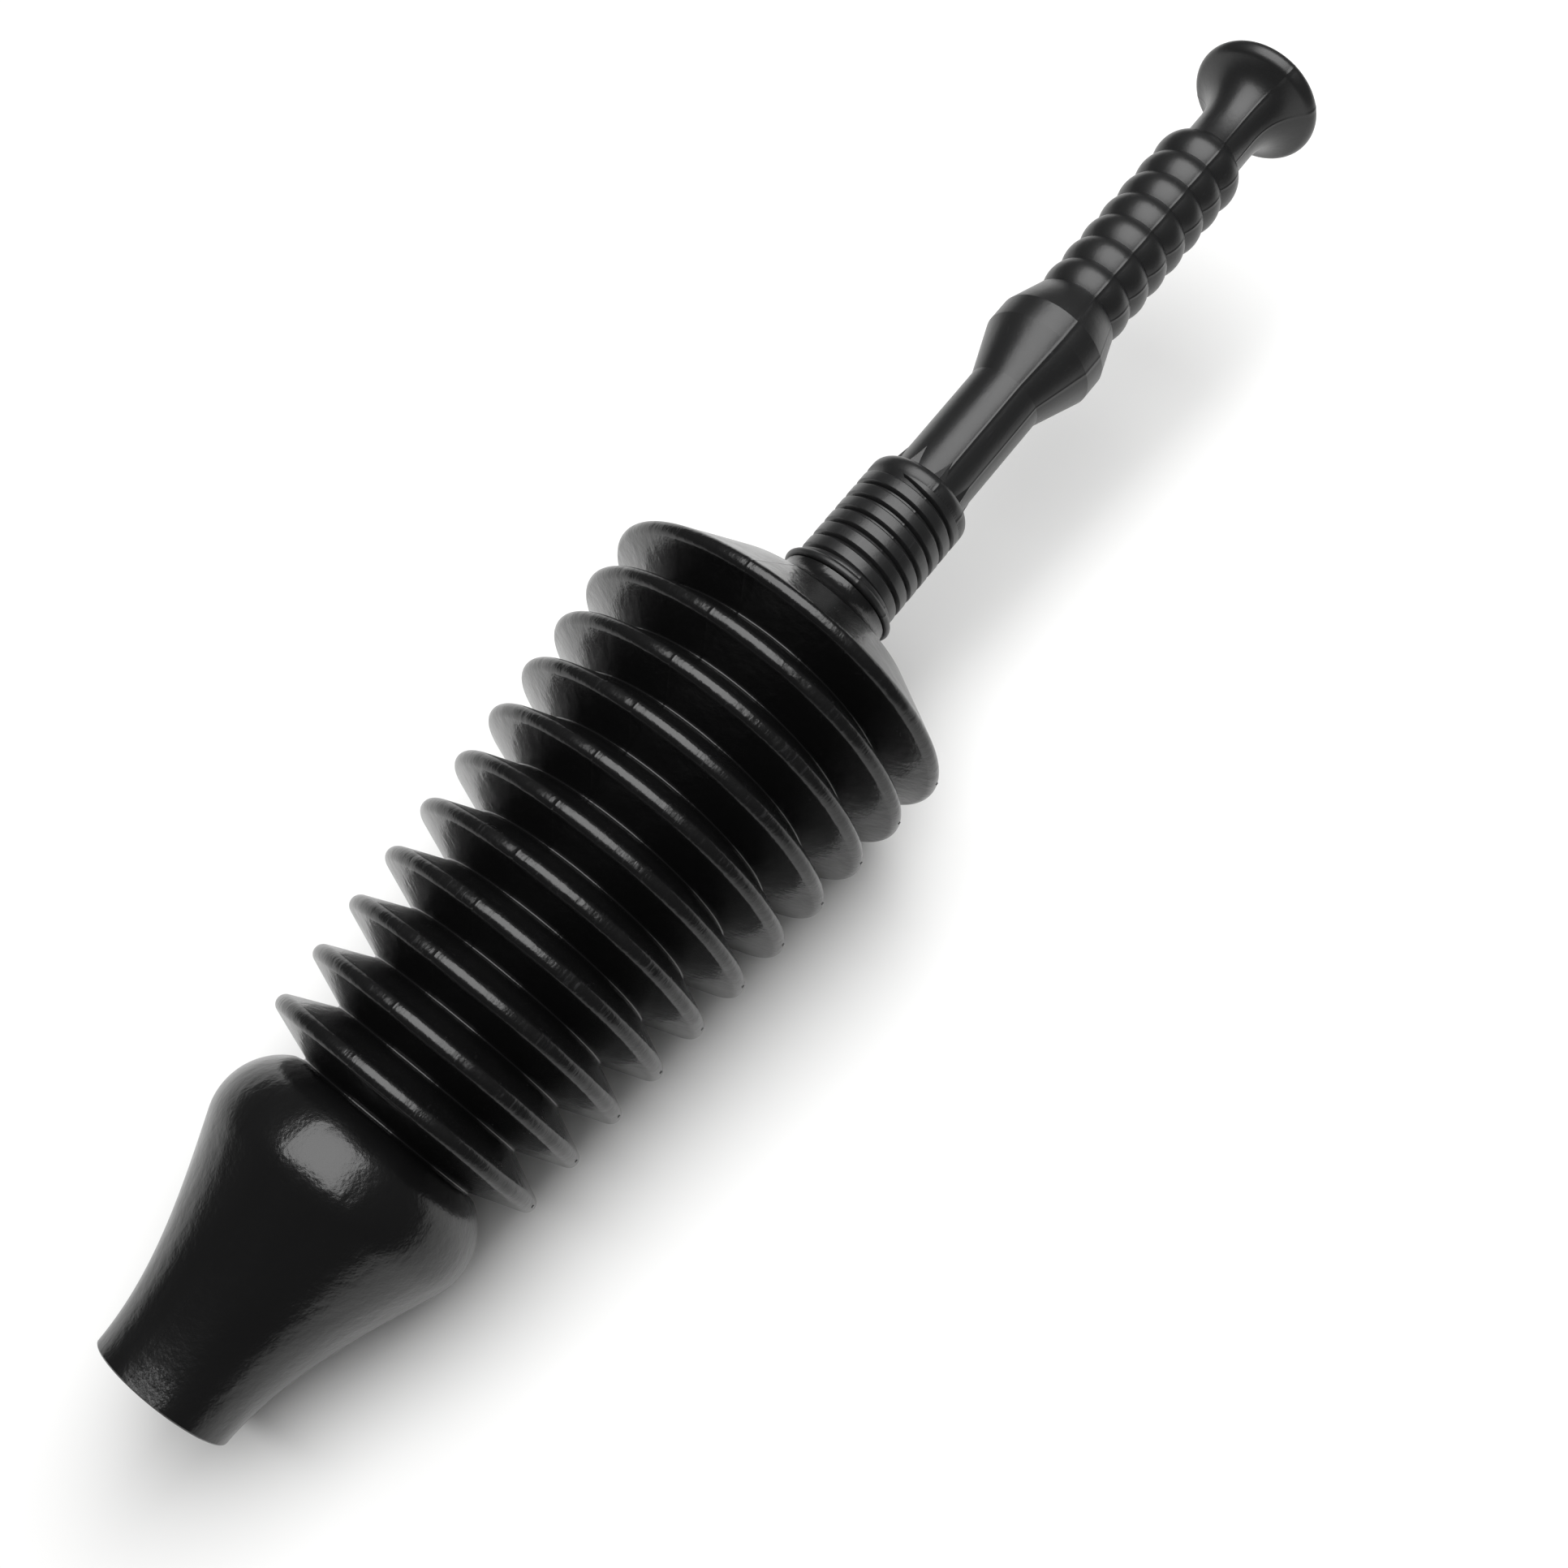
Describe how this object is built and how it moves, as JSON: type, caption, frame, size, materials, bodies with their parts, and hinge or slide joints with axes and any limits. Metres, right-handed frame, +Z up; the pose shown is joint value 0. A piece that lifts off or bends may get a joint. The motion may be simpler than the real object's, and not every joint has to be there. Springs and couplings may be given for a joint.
{
  "type": "toilet plunger",
  "caption": "Bellows toilet plunger: tapered nose, concertina bellows that widens to a conical shoulder, and a hollow screw-on handle with finger beads and a round knob.",
  "frame": {"origin": "middle of the part's box at ground level, with the part lying on the crests of its bellows", "axes": "+X from the nose to the knob, +Z up; the part's own axis leans up 5.07 degrees from +X, because the pleats grow towards the handle"},
  "size_m": [0.6238, 0.1404, 0.1399],
  "materials": {
    "bellows_plastic": "glossy black flexible polyethylene with a fine moulded grain",
    "handle_plastic": "satin black rigid polyethylene"
  },
  "bodies": {
    "head": {"bellows_shoulder": "bellows_plastic", "handle": "handle_plastic"},
    "pleat_10": {"bellows_pleat_10": "bellows_plastic"},
    "pleat_09": {"bellows_pleat_09": "bellows_plastic"},
    "pleat_08": {"bellows_pleat_08": "bellows_plastic"},
    "pleat_07": {"bellows_pleat_07": "bellows_plastic"},
    "pleat_06": {"bellows_pleat_06": "bellows_plastic"},
    "pleat_05": {"bellows_pleat_05": "bellows_plastic"},
    "pleat_04": {"bellows_pleat_04": "bellows_plastic"},
    "pleat_03": {"bellows_pleat_03": "bellows_plastic"},
    "pleat_02": {"bellows_pleat_02": "bellows_plastic"},
    "pleat_01": {"bellows_pleat_01": "bellows_plastic"},
    "nose": {"nose_cone": "bellows_plastic"}
  },
  "joints": [
    {"name": "fold_10", "type": "slide", "parent": "head", "child": "pleat_10", "axis": [0.9961, 0, 0.0884], "range_m": [-0.0025, 0.0105], "stiffness_N_per_m": 8000, "deforming": ["bellows_pleat_10"]},
    {"name": "fold_09", "type": "slide", "parent": "pleat_10", "child": "pleat_09", "axis": [0.9961, 0, 0.0884], "range_m": [-0.0025, 0.0105], "stiffness_N_per_m": 8000, "deforming": ["bellows_pleat_09"]},
    {"name": "fold_08", "type": "slide", "parent": "pleat_09", "child": "pleat_08", "axis": [0.9961, 0, 0.0884], "range_m": [-0.0025, 0.0105], "stiffness_N_per_m": 8000, "deforming": ["bellows_pleat_08"]},
    {"name": "fold_07", "type": "slide", "parent": "pleat_08", "child": "pleat_07", "axis": [0.9961, 0, 0.0884], "range_m": [-0.0025, 0.0105], "stiffness_N_per_m": 8000, "deforming": ["bellows_pleat_07"]},
    {"name": "fold_06", "type": "slide", "parent": "pleat_07", "child": "pleat_06", "axis": [0.9961, 0, 0.0884], "range_m": [-0.0025, 0.0105], "stiffness_N_per_m": 8000, "deforming": ["bellows_pleat_06"]},
    {"name": "fold_05", "type": "slide", "parent": "pleat_06", "child": "pleat_05", "axis": [0.9961, 0, 0.0884], "range_m": [-0.0025, 0.0105], "stiffness_N_per_m": 8000, "deforming": ["bellows_pleat_05"]},
    {"name": "fold_04", "type": "slide", "parent": "pleat_05", "child": "pleat_04", "axis": [0.9961, 0, 0.0884], "range_m": [-0.0025, 0.0105], "stiffness_N_per_m": 8000, "deforming": ["bellows_pleat_04"]},
    {"name": "fold_03", "type": "slide", "parent": "pleat_04", "child": "pleat_03", "axis": [0.9961, 0, 0.0884], "range_m": [-0.0025, 0.0105], "stiffness_N_per_m": 8000, "deforming": ["bellows_pleat_03"]},
    {"name": "fold_02", "type": "slide", "parent": "pleat_03", "child": "pleat_02", "axis": [0.9961, 0, 0.0884], "range_m": [-0.0025, 0.0105], "stiffness_N_per_m": 8000, "deforming": ["bellows_pleat_02"]},
    {"name": "fold_01", "type": "slide", "parent": "pleat_02", "child": "pleat_01", "axis": [0.9961, 0, 0.0884], "range_m": [-0.0025, 0.0105], "stiffness_N_per_m": 8000, "deforming": ["bellows_pleat_01"]},
    {"name": "nose_tilt", "type": "hinge", "parent": "pleat_01", "child": "nose", "pos_m": [-0.208, 0, 0.05214], "axis": [-0.0884, 0, 0.9961], "range_deg": [-5, 5], "stiffness_Nm_per_rad": 12}
  ],
  "couplings": [
    {"joint": "fold_09", "follows": "fold_10", "ratio": 1},
    {"joint": "fold_08", "follows": "fold_10", "ratio": 1},
    {"joint": "fold_07", "follows": "fold_10", "ratio": 1},
    {"joint": "fold_06", "follows": "fold_10", "ratio": 1},
    {"joint": "fold_05", "follows": "fold_10", "ratio": 1},
    {"joint": "fold_04", "follows": "fold_10", "ratio": 1},
    {"joint": "fold_03", "follows": "fold_10", "ratio": 1},
    {"joint": "fold_02", "follows": "fold_10", "ratio": 1},
    {"joint": "fold_01", "follows": "fold_10", "ratio": 1}
  ]
}
